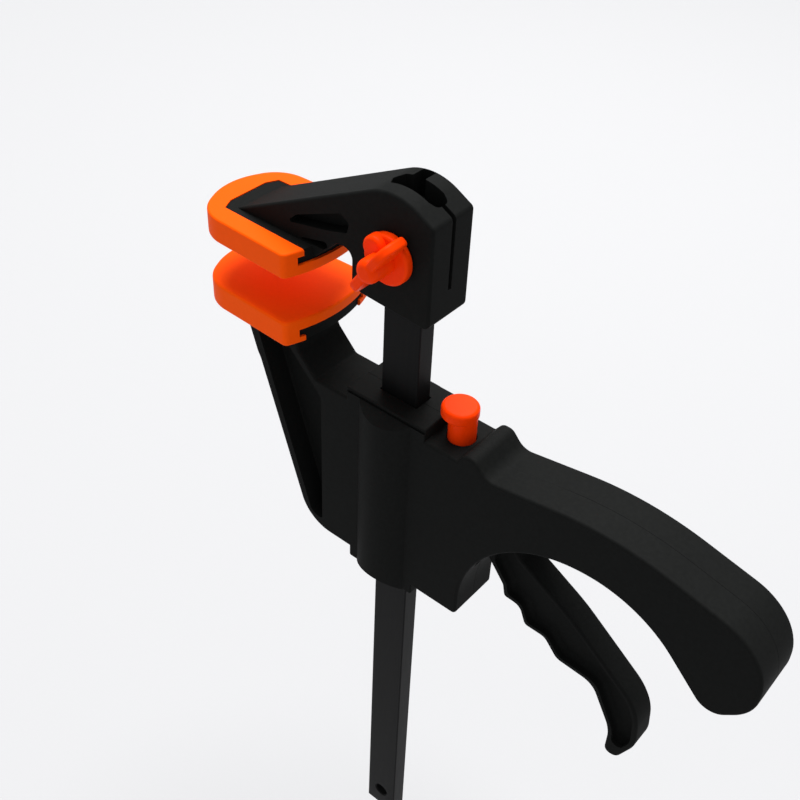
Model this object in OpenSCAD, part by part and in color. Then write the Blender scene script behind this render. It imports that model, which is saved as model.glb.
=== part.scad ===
// Quick release bar clamp. One jaw is pinned to a flat steel bar, the other slides on it.
// X runs from the jaws to the handle, Y across the thickness, Z along the bar, in millimetres.
// The origin is the middle of the moving jaw's gripping face.

/* [Bar] */
// Width of the bar, in the plane of the jaws
bar_w = 13; // [11:0.5:15]
// Thickness of the bar
bar_t = 6.2; // [5:0.1:7]
// Length of the bar
bar_len = 271.5; // [220:5:600]
// Rounding of the bar's long edges
bar_edge_r = 0.8; // [0.3:0.1:1.5]
// Diameter of the hole near each end of the bar
bar_hole_d = 5.4; // [5.2:0.1:6]
// Distance from a hole's middle to the bar's end
bar_hole_inset = 9.5; // [7:0.5:12]

/* [Jaws] */
// Gap between the pads
opening = 14.8; // [2:0.2:60]
// Reach of the jaws, from the bar's face to the tip of the pads
throat = 62; // [60:0.2:68]
// Thickness of the fixed jaw
jaw_t = 16.6; // [15:0.1:18]
// Wall of the fixed jaw's head behind the bar
head_end_wall = 6.1; // [5:0.1:8]
// Height of the lock screw above the fixed pad's gripping face
lock_h = 16.4; // [15:0.2:18]
// Width of the slit that lets the head pinch the bar
slit_w = 1; // [0.6:0.1:1.6]
// Thickness of the web between the fixed jaw's side recesses
jaw_web_t = 8.4; // [5:0.2:11]

/* [Pads] */
// Length of a pad
pad_len = 42.1; // [40:0.1:44]
// Width of a pad at its bar end
pad_back_w = 35.8; // [33:0.1:38]
// Width of a pad at its tip
pad_front_w = 33.4; // [30:0.1:35]
// Thickness of a pad's gripping floor
pad_floor_t = 3.3; // [2.5:0.1:4]
// Thickness of a pad's side walls
pad_wall = 4; // [3:0.1:4.5]
// Thickness of the lip that hooks over the jaw's foot
pad_lip_t = 2; // [1.2:0.1:2.4]
// Reach of the lip beyond the side walls
pad_lip_reach = 2; // [1.5:0.1:3]
// Reach of the lip beyond the wall at the tip
pad_tip_lip_reach = 3.6; // [2:0.1:6]
// Thickness of each jaw's foot
foot_t = 2.5; // [2:0.1:3]

/* [Body] */
// Thickness of the body across both shells
body_t = 18.4; // [17.6:0.1:22]
// Thickness of the handle's far end
handle_end_t = 16.2; // [15:0.1:18]
// Wall of the shells
wall = 2.4; // [2:0.1:2.8]
// Depth of the box, from the collar's top to the bottom face
box_h = 65.5; // [63:0.5:75]
// Outer radius of the bulge around the return spring
bulge_r = 13.2; // [12.8:0.1:15]
// Length of the bulge below the bottom face
bulge_drop = 4.1; // [3.5:0.1:6]
// Thickness of the web in the arm's side pocket
arm_web_t = 4; // [3:0.2:8]

/* [Release] */
// Diameter of the button's head
button_d = 10.9; // [10:0.1:11.4]
// Height of the button above the collar's top
button_h = 6.7; // [6:0.1:9]
// Travel of the button
button_travel = 3.1; // [2:0.1:3.4]
// Thickness of the brake plate
brake_t = 3; // [2.4:0.1:3.2]

/* [Drive] */
// Thickness of one drive plate
drive_t = 2.5; // [2:0.1:3]
// Thickness of the washer under the drive plates
washer_t = 1.2; // [0.8:0.1:1.6]
// Width of the plates
plate_w = 12.4; // [11:0.1:12.8]
// Width of the trigger
trigger_t = 8.5; // [7:0.1:9]
// Thickness of the trigger's web between its side pockets
trigger_web_t = 2.4; // [1.6:0.1:4]
// Diameter of the trigger's pin
pin_d = 5; // [4:0.1:6]
// Wire diameter of the return spring
spring_wire_d = 1.6; // [1.2:0.1:1.8]
// Turns of the return spring
spring_turns = 8; // [5:1:10]
// Wire diameter of the brake spring
brake_wire_d = 0.7; // [0.5:0.1:0.9]
// Turns of the brake spring
brake_turns = 5; // [3:1:6]

/* [Lock key] */
// Diameter of the lock screw
lock_d = 5; // [4:0.1:5]
// Diameter of the key's disc
key_disc_d = 14.8; // [13:0.2:18]
// Thickness of the key's disc
key_disc_t = 3; // [2:0.1:4]
// Width across the key's wings
wing_span = 20.8; // [18:0.2:26]
// Thickness of the wings
wing_t = 3.3; // [2.5:0.1:4]
// Height of the wings above the disc
wing_h = 7.9; // [6:0.1:10]
// Rounding of the wings' outer corners
wing_r = 4.5; // [1:0.1:6]
// Angle of the wings from the X axis
wing_angle = 56; // [0:1:90]

/* [Hidden] */
$fn = 64;

slip = 0.3;              // gap between parts that slide past each other
fit = 0.05;              // radial gap of a shaft in its hole
touch = 0.1;             // gap between faces that rest on each other
eps = 0.01;
arc_tolerance = 0.03;    // how far a rounded corner's straight steps may leave the arc

// Heights above the collar's top, and distances from the bar's axis
pad_face_z = 18.8;
pad_tip_x = -bar_w / 2 - throat;
pad_back_x = pad_tip_x + pad_len;
pad_mid_x = (pad_tip_x + pad_back_x) / 2;
pad_bow = 7;             // depth of the two straight lines that the back's curve rounds off
pad_bow_r = 0.9 * norm([pad_bow, pad_back_w / 2]) * pad_back_w / 2 / pad_bow;
lip_front_x = pad_tip_x + pad_wall + pad_tip_lip_reach;
tongue_h = pad_lip_t + touch - 0.3;  // rise of the foot between the pad's lips
upper_face_z = pad_face_z + opening;
foot_mid_z = pad_face_z - pad_floor_t - foot_t / 2;
lock_z = upper_face_z + lock_h;
bar_top_z = lock_z + bar_hole_inset;
bar_low_z = bar_top_z - bar_len;

deck_z = -4.1;
collar_x = 14.4;
boss_x = 12.8;
block_x = 30.2;
taper_x = [45, 123];
room_x = -17.2;
room_half = body_t / 2 - wall;
room_top_z = deck_z - wall;
spring_room_r = bulge_r - wall - 0.4;
spring_seat_z = -box_h - 0.3;
bulge_low_z = -box_h - bulge_drop;
bulge_top_z = -1.5;

// Release mechanism
button_x = 20.6;
button_neck_r = 4.1;
button_lean = 1.2;       // the head overhangs the neck towards the bar
brake_x = [-14, 23.3];    // the pivot and the far end
brake_arm = button_x - brake_x[0];
brake_tilt = asin(button_travel / brake_arm);
brake_z = -14.1;
brake_spring_r = 3;
shelf_z = [-21.5, -19.5];
notch_gap = brake_t + 0.9;

// Drive mechanism
pivot_x = 33;
pivot_z = -27;
hub_r = 6;
nose_x = 18.4;
drive_x = [-15.6, 22];
drive_top_z = pivot_z + 0.5;
drive_low_z = drive_top_z - 2 * drive_t - touch;
washer_r = spring_room_r - slip - 0.3;
washer_z = drive_low_z - touch - washer_t;
spring_r = washer_r - spring_wire_d / 2 - 0.4;
slot_half = trigger_t / 2 + slip;
slot_x = [pivot_x - hub_r, 52];
slot_z = [-46, -16];

// Screws that hold the shells: X and Z of each
screw_spots = [[-20.8, -36], [23.4, -box_h + 7], [43, -14.5], [107, -24]];
screw_r = 1.5;
screw_head_r = 2.6;
screw_head_t = 2.2;
screw_seat_y = 5;
screw_tip_y = -6.8;
screw_boss_r = screw_head_r + 1.3;
screw_skin = 0.8;

// Lock
nut_af = 8;
nut_t = 4;
nut_y = jaw_t / 2 - nut_t - 0.2;
lock_tip_y = jaw_t / 2 - 0.5;
key_y = -jaw_t / 2 - touch;
hub_h = key_disc_t + wing_h + 0.2;
key_hub_r = 3.8;

// ---------- Outlines: each corner is [x, z, radius], listed clockwise ----------

function unit(v) = v / norm(v);

// The arc that replaces corner b between its neighbours a and c
function arc_corner(a, b, c, r) =
    let (u = unit(a - b), v = unit(c - b), half = acos(u * v) / 2)
    r <= 0 || half > 89.9 ? [b] :
    let (mid = b + unit(u + v) * r / sin(half),
         first = b + u * r / tan(half) - mid,
         last = b + v * r / tan(half) - mid,
         from = atan2(first.y, first.x),
         raw = atan2(last.y, last.x) - from,
         turn = raw > 180 ? raw - 360 : raw < -180 ? raw + 360 : raw,
         steps = ceil(abs(turn) / (2 * acos(1 - min(arc_tolerance / r, 0.06)))))
    [for (k = [0:steps]) mid + r * [cos(from + turn * k / steps), sin(from + turn * k / steps)]];

function flat(p) = [p[0], p[1]];
function before(path, i) = path[(i + len(path) - 1) % len(path)];
function after(path, i) = path[(i + 1) % len(path)];

function rounded(path) = [for (i = [0:len(path) - 1])
    each arc_corner(flat(before(path, i)), flat(path[i]), flat(after(path, i)), path[i][2])];

// A clockwise outline moved inwards by d, with its corner radii to match
function inset(path, d) = [for (i = [0:len(path) - 1])
    let (s = unit(flat(path[i]) - flat(before(path, i))),
         t = unit(flat(after(path, i)) - flat(path[i])),
         n = [s.y, -s.x] + [t.y, -t.x],
         p = flat(path[i]) + n * d / (1 + s * t),
         bend = s.x * t.y - s.y * t.x,
         r = path[i][2])
    [p.x, p.y, r == 0 ? 0 : max(bend < 0 ? r - d : r + d, 0)]];

// A pad seen from above: curved at the bar end, tapering to a rounded tip
pad_path = [[pad_back_x - pad_bow / 2, pad_back_w / 2, 2], [pad_back_x + pad_bow / 2, 0, pad_bow_r],
            [pad_back_x - pad_bow / 2, -pad_back_w / 2, 2],
            [pad_tip_x + 5.5, -pad_front_w / 2, 12], [pad_tip_x - 2.2, 0, 20],
            [pad_tip_x + 5.5, pad_front_w / 2, 12]];
// The pad's outline with a straight back past its end, for the channel, the lip and the foot
channel_path = [[pad_back_x + 10, pad_back_w / 2, 0], [pad_back_x + 10, -pad_back_w / 2, 0],
                for (k = [3:5]) pad_path[k]];

// Fixed jaw from the side, above its pad's gripping face
jaw_foot_z = pad_floor_t;
jaw_path = [[lip_front_x + 3, jaw_foot_z, 0], [lip_front_x + 3, jaw_foot_z + 3.75, 0],
            [-0.4, 36.2, 17], [bar_w / 2 + head_end_wall, 29.1, 1.5],
            [bar_w / 2 + head_end_wall, -1.6, 2], [-10.8, -0.1, 1], [-14, 2.6, 1.5],
            [-14, 12.2, 3], [-19.5, 11.5, 2], [pad_back_x - 0.6, jaw_foot_z + 1.1, 0]];
jaw_recess_path = [[-37.3, 11.4, 0.5], [-33.8, 14.8, 1.5], [-17.7, 21.7, 2], [-14.7, 19.8, 1.2],
                   [-15.5, 16.5, 0.8], [-23.4, 14.3, 8]];
jaw_low_recess_path = [[-35, 7.9, 0.3], [-19.8, 11.5, 1], [-23.9, 7.9, 0.3]];

// Handle: outer edge from the valley behind the hump, round the end, to the arch
handle_path = [[36, -5.6, 5], [75, 0.9, 90], [120.9, -9.6, 18], [121.4, -31.4, 14],
               [110.2, -41.8, 6], [86.4, -18, 30], [block_x, -18, 41], [block_x, -box_h, 1.5]];
body_path = concat([[-26.5, deck_z, 1], [25.9, deck_z, 1], [28.3, -0.8, 2.4], [31.6, -0.8, 3]],
                   handle_path,
                   [[-box_h / 77.1 * 25.9 - 8.6, -box_h, 13], [-57.5, foot_mid_z, 0],
                    [-30, foot_mid_z, 0], [-34.3, 3.9, 3]]);
room_path = inset(concat([[room_x - wall, deck_z, 0], [block_x - 2, deck_z, 3]], handle_path,
                         [[room_x - wall, -box_h, 0]]), wall);
pocket_path = [[-52, pad_face_z - 9.4, 1], [-37, pad_face_z - 9.4, 1], [-37.4, 3.2, 3],
               [-24.5, -9.8, 3], [-24.5, -box_h + 4.5, 1], [-28.9, -box_h + 4.5, 4]];

// Trigger from the side: back edge, hooked tip, then the front edge with its finger waves
lever_path = [[nose_x, drive_top_z + 3.4, 1.5], [28, -21.8, 3], [38.4, -21.3, 3],
              [47.1, -32.4, 5], [66, -43.2, 60], [91.8, -63.3, 18], [93.2, -78.5, 12],
              [88.4, -88.9, 3], [84.2, -88.4, 2], [84.2, -78.5, 14], [76, -64, 6],
              [63.5, -63.2, 4], [58.5, -57.5, 3], [51.4, -57.4, 2], [48.8, -51.2, 3],
              [43.2, -50.9, 1.5], [42.3, -46.5, 3], [34, -36, 8], [28.5, -32, 3],
              [drive_x[1] + 1, drive_top_z + 0.2, 1], [nose_x, drive_top_z + 0.2, 1.5]];
lever_pocket_path = [[41, -26.5, 2], [46.4, -33.4, 5], [65.4, -44.4, 60], [90.3, -64, 17],
                     [91.6, -78.3, 9], [88.6, -84.2, 2], [85.8, -82, 2], [85.7, -78, 12],
                     [77.4, -62.3, 6], [64.4, -61.4, 4], [59.3, -55.8, 3], [52.4, -55.6, 2],
                     [49.7, -49.6, 3], [44.6, -48.9, 1.5], [43.8, -45.2, 3], [38.6, -38.5, 3]];

// ---------- Helpers ----------

// Moves a piece from the bar's axis and the collar's top to the origin
module placed() {
    translate([-pad_mid_x, 0, -pad_face_z]) children();
}

// Extrudes an outline drawn in X and Z between two Y positions
module upright(y_low, y_high) {
    translate([0, y_high, 0]) rotate([90, 0, 0]) linear_extrude(y_high - y_low) children();
}

// A round bar along Y at one X and Z
module cross_rod(x, z, r, y_low, y_high) {
    translate([x, y_high, z]) rotate([90, 0, 0]) cylinder(r = r, h = y_high - y_low);
}

module block(x, y, z) {
    translate([x[0], y[0], z[0]]) cube([x[1] - x[0], y[1] - y[0], z[1] - z[0]]);
}

// A box around the bar's section, wider by gap on every side
module bar_space(gap, z_low, z_high) {
    block([-bar_w / 2 - gap, bar_w / 2 + gap], [-bar_t / 2 - gap, bar_t / 2 + gap],
          [z_low, z_high]);
}

// A round wire coil standing on Z = 0
module coil(mean_r, wire_r, height, turns) {
    sides = 8;
    steps_per_turn = 18;
    steps = turns * steps_per_turn;
    rise = (height - 2 * wire_r) / steps;
    rings = [for (i = [0:steps]) for (k = [0:sides - 1])
        let (a = i * 360 / steps_per_turn, b = k * 360 / sides, r = mean_r + wire_r * cos(b))
        [r * cos(a), r * sin(a), wire_r + rise * i + wire_r * sin(b)]];
    skin = [for (i = [0:steps - 1]) for (k = [0:sides - 1])
        let (n = (k + 1) % sides)
        each [[i * sides + k, i * sides + n, (i + 1) * sides + n],
              [i * sides + k, (i + 1) * sides + n, (i + 1) * sides + k]]];
    first_cap = [for (k = [sides - 1:-1:0]) k];
    last_cap = [for (k = [0:sides - 1]) steps * sides + k];
    polyhedron(rings, concat(skin, [first_cap, last_cap]));
}

// ---------- Pads ----------

// A pad with its gripping face at Z = 0 and its channel above it
module pad() {
    height = pad_floor_t + foot_t + touch + pad_lip_t;
    lip_z = height - pad_lip_t;
    difference() {
        linear_extrude(height) polygon(rounded(pad_path));
        translate([0, 0, pad_floor_t]) linear_extrude(lip_z - pad_floor_t)
            polygon(rounded(inset(channel_path, pad_wall)));
        translate([0, 0, pad_floor_t]) linear_extrude(height) intersection() {
            polygon(rounded(inset(channel_path, pad_wall + pad_lip_reach)));
            translate([lip_front_x, -pad_back_w / 2]) square([pad_len, pad_back_w]);
        }
    }
}

module lower_pad() {
    color("darkorange") placed() translate([0, 0, pad_face_z]) mirror([0, 0, 1]) pad();
}

module upper_pad() {
    color("darkorange") placed() translate([0, 0, upper_face_z]) pad();
}

// The foot that a pad slips over, with its underside at Z = pad_floor_t, and its rise between
// the lips
module foot() {
    intersection() {
        union() {
            translate([0, 0, pad_floor_t]) linear_extrude(foot_t)
                polygon(rounded(inset(channel_path, pad_wall + touch)));
            translate([0, 0, pad_floor_t]) linear_extrude(foot_t + tongue_h) intersection() {
                polygon(rounded(inset(channel_path, pad_wall + pad_lip_reach + touch)));
                translate([lip_front_x + touch, -pad_back_w / 2]) square([pad_len, pad_back_w]);
            }
        }
        linear_extrude(2 * pad_floor_t + foot_t + tongue_h) polygon(rounded(inset(pad_path, 0.8)));
    }
}

// ---------- Bar and fixed jaw ----------

module bar() {
    color("dimgray") placed() difference() {
        translate([0, 0, bar_low_z]) linear_extrude(bar_len) {
            square([bar_w - 2 * bar_edge_r, bar_t], center = true);
            square([bar_w, bar_t - 2 * bar_edge_r], center = true);
            for (x = [-1, 1], y = [-1, 1])
                translate([x * (bar_w / 2 - bar_edge_r), y * (bar_t / 2 - bar_edge_r)])
                    circle(bar_edge_r, $fn = 24);
        }
        for (z = [lock_z, bar_low_z + bar_hole_inset])
            cross_rod(0, z, bar_hole_d / 2, -bar_t, bar_t);
    }
}

// The opening in the head's top that shows the bar's end
module head_window() {
    square([bar_w, bar_t], center = true);
    translate([bar_w / 2, 0]) circle(2.5);
    translate([-bar_w / 2, 0]) rotate(45) square(2.6, center = true);
    translate([-3.5, 0]) square([4, bar_t / 2 + 4.4]);
}

module fixed_jaw() {
    color([0.09, 0.09, 0.1]) placed() difference() {
        translate([0, 0, upper_face_z]) difference() {
            union() {
                upright(-jaw_t / 2, jaw_t / 2) polygon(rounded(jaw_path));
                foot();
            }
            for (side = [-1, 1]) on_side(side)
                upright(jaw_web_t / 2, jaw_t / 2 + 1) {
                    polygon(rounded(jaw_recess_path));
                    polygon(rounded(jaw_low_recess_path));
                }
            translate([0, 0, lock_h + bar_hole_inset]) linear_extrude(pad_len) head_window();
            block([0, bar_w], [-slit_w / 2, slit_w / 2], [lock_h - 8, pad_len]);
        }
        bar_space(touch, upper_face_z - 10, bar_top_z + touch);
        cross_rod(0, lock_z, bar_hole_d / 2, -jaw_t, jaw_t);
        nut_pocket();
    }
}

// Mirrors its child to the near side when side is -1
module on_side(side) {
    if (side < 0) mirror([0, 1, 0]) children();
    else children();
}

module nut_shape(af, y_low, y_high) {
    translate([0, y_high, lock_z]) rotate([90, 0, 0])
        cylinder(r = af / sqrt(3), h = y_high - y_low, $fn = 6);
}

module nut_pocket() {
    nut_shape(nut_af + 2 * touch, nut_y - touch, jaw_t);
}

// ---------- Lock ----------

module lock_nut() {
    color("silver") placed() difference() {
        nut_shape(nut_af, nut_y, nut_y + nut_t);
        cross_rod(0, lock_z, lock_d / 2 + fit, -jaw_t, jaw_t);
    }
}

module lock_screw() {
    color("silver") placed() cross_rod(0, lock_z, lock_d / 2, key_y - key_disc_t, lock_tip_y);
}

// Both wings as one plate with rounded outer corners, rising along Z from Z = 0
module wing_plate() {
    half = wing_span / 2;
    rotate([90, 0, 0]) translate([0, 0, -wing_t / 2]) linear_extrude(wing_t)
        polygon(rounded([[-half, -1.5, 1], [-half, wing_h, wing_r], [half, wing_h, wing_r],
                         [half, -1.5, 1]]));
}

module lock_key() {
    disc_y = key_y - key_disc_t;
    color("orangered") placed() difference() {
        union() {
            cross_rod(0, lock_z, key_disc_d / 2, disc_y, key_y);
            cross_rod(0, lock_z, key_hub_r, key_y - hub_h, key_y);
            cross_rod(-3, lock_z + 3.9, 3.3, disc_y - 0.8, key_y - 1);
            translate([0, disc_y, lock_z]) rotate([90, -wing_angle, 0]) wing_plate();
        }
        cross_rod(0, lock_z, lock_d / 2 + fit, disc_y - touch, 0);
    }
}

// ---------- Body shells ----------

// The body's width from above: full at the jaws, narrower at the handle's end
module body_plan() {
    half = body_t / 2;
    end_half = handle_end_t / 2;
    polygon([[pad_tip_x, -half], [taper_x[0], -half], [taper_x[1], -end_half],
             [taper_x[1], end_half], [taper_x[0], half], [pad_tip_x, half]]);
}

// The round bulge on the far side, cut off by a slope at both ends
module bulge() {
    half = body_t / 2;
    intersection() {
        translate([0, 0, bulge_low_z]) cylinder(r = bulge_r, h = bulge_top_z - bulge_low_z);
        rotate([90, 0, 90]) translate([0, 0, -bulge_r]) linear_extrude(2 * bulge_r)
            polygon([[half - 1, bulge_low_z], [half, bulge_low_z], [bulge_r + eps, bulge_low_z + 2.4],
                     [bulge_r + eps, bulge_top_z - 2.7], [half, bulge_top_z],
                     [half - 1, bulge_top_z]]);
    }
}

module body_solid() {
    intersection() {
        upright(0, body_t) polygon(rounded(body_path));
        translate([0, 0, -2 * box_h]) linear_extrude(3 * box_h) body_plan();
    }
    block([-collar_x, collar_x], [0, body_t / 2], [deck_z - 1, 0]);
    block([-boss_x, boss_x], [0, body_t / 2], [bulge_low_z, -box_h + 1]);
    bulge();
    intersection() {
        translate([0, 0, pad_face_z]) mirror([0, 0, 1]) foot();
        block([pad_tip_x, 0], [0, pad_back_w], [0, pad_face_z]);
    }
}

module body_hollows() {
    upright(-1, room_half) polygon(rounded(room_path));
    translate([0, 0, spring_seat_z]) cylinder(r = spring_room_r, h = room_top_z - spring_seat_z);
    bar_space(slip, -2 * box_h, 5);
    translate([button_x, 0, room_top_z - 1]) cylinder(r = button_neck_r + slip, h = 10);
    upright(arm_web_t / 2, body_t) polygon(rounded(pocket_path));
    block(slot_x, [-1, slot_half], slot_z);
    cross_rod(pivot_x, pivot_z, pin_d / 2 + fit, -1, body_t / 2 - screw_skin);
}

// Ribs and bosses inside one shell, from its wall to the parting plane
module body_ribs() {
    deep = [0, room_half + eps];
    block([room_x - eps, -12], deep, [brake_z - 3, brake_z - touch]);
    block([room_x - eps, -14.6], deep, [brake_z + notch_gap, room_top_z + eps]);
    block([15, 26], deep, shelf_z);
    block([room_x - eps, -11.5], deep, [drive_top_z + 0.2, drive_top_z + 2.6]);
    for (spot = screw_spots) cross_rod(spot.x, spot.y, screw_boss_r, 0, room_half + eps);
    difference() {
        cross_rod(pivot_x, pivot_z, hub_r - 1, slot_half, room_half + eps);
        cross_rod(pivot_x, pivot_z, pin_d / 2 + fit, 0, body_t / 2 - screw_skin);
    }
}

module half_shell() {
    difference() {
        body_solid();
        body_hollows();
    }
    body_ribs();
}

module body_shell_far() {
    color([0.1, 0.1, 0.11]) placed() difference() {
        half_shell();
        for (spot = screw_spots) {
            cross_rod(spot.x, spot.y, screw_r + fit, -1, body_t);
            cross_rod(spot.x, spot.y, screw_head_r + touch, screw_seat_y, body_t);
        }
    }
}

module body_shell_near() {
    color([0.09, 0.09, 0.1]) placed() difference() {
        mirror([0, 1, 0]) half_shell();
        for (spot = screw_spots)
            cross_rod(spot.x, spot.y, screw_r + fit, screw_tip_y - 0.2, 1);
    }
}

module shell_screws() {
    slot_t = 0.8;
    slot_deep = 1.2;
    color("silver") placed() for (spot = screw_spots) difference() {
        union() {
            cross_rod(spot.x, spot.y, screw_r, screw_tip_y, screw_seat_y + touch);
            cross_rod(spot.x, spot.y, screw_head_r, screw_seat_y + touch,
                      screw_seat_y + touch + screw_head_t);
        }
        for (turn = [0, 90])
            translate([spot.x, screw_seat_y + screw_head_t, spot.y]) rotate([0, turn, 0])
                cube([screw_head_r * 1.3, 2 * slot_deep, slot_t], center = true);
    }
}

// ---------- Release ----------

module release_button() {
    r = button_d / 2;
    flange_top = room_top_z - touch;
    nib_z = brake_z + brake_t / 2 + brake_arm * tan(brake_tilt) + brake_t / 2 / cos(brake_tilt) + 0.2;
    color("orangered") placed() translate([button_x, 0, 0]) {
        translate([0, 0, flange_top - 0.7]) cylinder(r = button_neck_r + 1.3, h = 0.7);
        translate([0, 0, nib_z]) cylinder(r = 1.2, h = flange_top - nib_z);
        translate([0, 0, flange_top - eps]) cylinder(r = button_neck_r, h = 3 - flange_top);
        translate([-button_lean, 0, 0])
            rotate_extrude() polygon([[0, 0.9], [button_neck_r - button_lean, 0.9],
                                      [r, button_h - 3.1], [r, button_h - 1],
                                      for (a = [15:15:75]) [r - 1 + cos(a),
                                                            button_h - 1 + sin(a)],
                                      [r - 1, button_h], [0, button_h]]);
    }
}

// Stored tilted up at the button's end, where it grips the bar
module brake_plate() {
    color("lightgray") placed() translate([brake_x[0], 0, brake_z + brake_t / 2])
        rotate([0, -brake_tilt, 0]) difference() {
            union() {
                cross_rod(0, 0, brake_t / 2, -plate_w / 2, plate_w / 2);
                block([0, brake_x[1] - brake_x[0]], [-plate_w / 2, plate_w / 2],
                      [-brake_t / 2, brake_t / 2]);
            }
            translate([-brake_x[0] / cos(brake_tilt), 0, 0]) bar_space(slip, -brake_t, brake_t);
        }
}

module brake_spring() {
    top = brake_z + brake_t / 2 - brake_t / 2 / cos(brake_tilt) - touch
        + (brake_arm - brake_spring_r - brake_wire_d / 2) * tan(brake_tilt);
    low = shelf_z[1] + touch;
    color("silver") placed() translate([button_x, 0, low])
        coil(brake_spring_r, brake_wire_d / 2, top - low, brake_turns);
}

// ---------- Drive ----------

module drive_plate(z) {
    color("lightgray") placed() difference() {
        block(drive_x, [-plate_w / 2, plate_w / 2], [z, z + drive_t]);
        bar_space(slip, z - 1, z + drive_t + 1);
    }
}

module drive_plate_upper() {
    drive_plate(drive_top_z - drive_t);
}

module drive_plate_lower() {
    drive_plate(drive_low_z);
}

module spring_washer() {
    hole_r = norm([bar_w, bar_t]) / 2 + slip;
    color("silver") placed() translate([0, 0, washer_z]) difference() {
        cylinder(r = washer_r, h = washer_t);
        translate([0, 0, -1]) cylinder(r = hole_r, h = washer_t + 2);
    }
}

module return_spring() {
    low = spring_seat_z + touch;
    color("silver") placed() translate([0, 0, low])
        coil(spring_r, spring_wire_d / 2, washer_z - touch - low, spring_turns);
}

module trigger_pin() {
    half = body_t / 2 - screw_skin - touch;
    color("silver") placed() cross_rod(pivot_x, pivot_z, pin_d / 2, -half, half);
}

module trigger() {
    half = trigger_t / 2;
    color([0.08, 0.08, 0.09]) placed() difference() {
        upright(-half, half) polygon(rounded(lever_path));
        cross_rod(pivot_x, pivot_z, pin_d / 2 + fit, -trigger_t, trigger_t);
        for (side = [-1, 1]) on_side(side)
            upright(trigger_web_t / 2, half + 1) polygon(rounded(lever_pocket_path));
    }
}

body_shell_near();
body_shell_far();
shell_screws();
lower_pad();
trigger_pin();
return_spring();
brake_spring();
bar();
fixed_jaw();
upper_pad();
lock_nut();
lock_screw();
lock_key();
release_button();
brake_plate();
drive_plate_upper();
drive_plate_lower();
spring_washer();
trigger();
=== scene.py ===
import logging
import math
from collections.abc import Callable, Iterable, Sequence
from dataclasses import dataclass
from enum import Enum

import bmesh
import bpy
from mathutils import Matrix, Vector


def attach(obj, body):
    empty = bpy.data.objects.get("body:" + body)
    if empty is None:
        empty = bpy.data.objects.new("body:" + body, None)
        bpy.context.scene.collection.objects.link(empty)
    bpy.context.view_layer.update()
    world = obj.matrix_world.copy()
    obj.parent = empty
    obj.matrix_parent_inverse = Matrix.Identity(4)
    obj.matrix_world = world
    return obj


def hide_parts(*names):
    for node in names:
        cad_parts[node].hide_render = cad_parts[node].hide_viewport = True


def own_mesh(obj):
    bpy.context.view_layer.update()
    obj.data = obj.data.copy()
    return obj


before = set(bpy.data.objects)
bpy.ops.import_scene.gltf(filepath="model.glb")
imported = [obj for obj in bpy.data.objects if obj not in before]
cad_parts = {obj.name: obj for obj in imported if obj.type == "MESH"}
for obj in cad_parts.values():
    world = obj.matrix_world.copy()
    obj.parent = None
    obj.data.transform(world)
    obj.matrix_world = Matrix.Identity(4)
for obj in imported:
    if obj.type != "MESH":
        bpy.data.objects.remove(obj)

log = logging.getLogger("bar_clamp")

MM = 0.001
ORIGIN_X = 47.45  # from the bar's axis to the middle of the pads, in millimetres
ORIGIN_Z = -18.8  # from the collar's top to the lower pad's face, in millimetres
ARC_TOLERANCE = 0.012  # how far an arc's straight steps may leave it, in millimetres
WELD = 0.004  # points nearer than this become one, in millimetres

Corner = tuple[float, float, float]
Point = tuple[float, float]
Span = tuple[float, float]
Width = float | Callable[[float, float], float]

BUTTON_X = 20.6  # the release button's axis
TRIGGER_PIVOT: Point = (33.0, -27.0)  # the trigger pin's axis
BAR_HOLE: tuple[Span, Span] = ((-6.8, 6.8), (-3.4, 3.4))  # the hole for the bar, X and Y


class Side(Enum):
    """Which half of the body a shell is."""

    NEAR = -1
    FAR = 1


class Lie(Enum):
    """Which way a slab's thickness points."""

    UPRIGHT = "y"
    FLAT = "z"
    END_ON = "x"


# ---------- Outlines ----------


def arc_corner(a: Corner, b: Corner, c: Corner) -> list[Point]:
    """The points that round corner b between its neighbours.

    Args:
        a: The corner before.
        b: The corner to round, with its radius third.
        c: The corner after.

    Returns:
        The arc's points, or the corner itself where it is sharp.
    """
    u = Vector((a[0] - b[0], a[1] - b[1])).normalized()
    v = Vector((c[0] - b[0], c[1] - b[1])).normalized()
    half = math.acos(max(-1.0, min(1.0, u.dot(v)))) / 2
    r = b[2]
    if r <= 0 or half > math.radians(89.5):
        return [(b[0], b[1])]
    corner = Vector((b[0], b[1]))
    mid = corner + (u + v).normalized() * r / math.sin(half)
    first = corner + u * r / math.tan(half) - mid
    last = corner + v * r / math.tan(half) - mid
    start = math.atan2(first.y, first.x)
    turn = math.remainder(math.atan2(last.y, last.x) - start, math.tau)
    steps = max(2, math.ceil(abs(turn) / (2 * math.acos(1 - min(ARC_TOLERANCE / r, 0.04)))))
    return [
        (mid.x + r * math.cos(start + turn * k / steps), mid.y + r * math.sin(start + turn * k / steps))
        for k in range(steps + 1)
    ]


def rounded(path: Sequence[Corner], longest: float = 1e9) -> list[Point]:
    """A closed outline with its corners rounded.

    Args:
        path: The corners, clockwise, each with its radius.
        longest: The longest edge that stays in one piece.

    Returns:
        The outline's points.
    """
    n = len(path)
    points: list[Point] = []
    for i in range(n):
        for p in arc_corner(path[i - 1], path[i], path[(i + 1) % n]):
            if not points or math.dist(p, points[-1]) > 1e-4:
                points.append(p)
    if math.dist(points[0], points[-1]) < 1e-4:
        points.pop()
    out: list[Point] = []
    for i, p in enumerate(points):
        q = points[(i + 1) % len(points)]
        parts = max(1, math.ceil(math.dist(p, q) / longest))
        dx, dy = q[0] - p[0], q[1] - p[1]
        out += [(p[0] + dx * k / parts, p[1] + dy * k / parts) for k in range(parts)]
    return out


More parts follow.
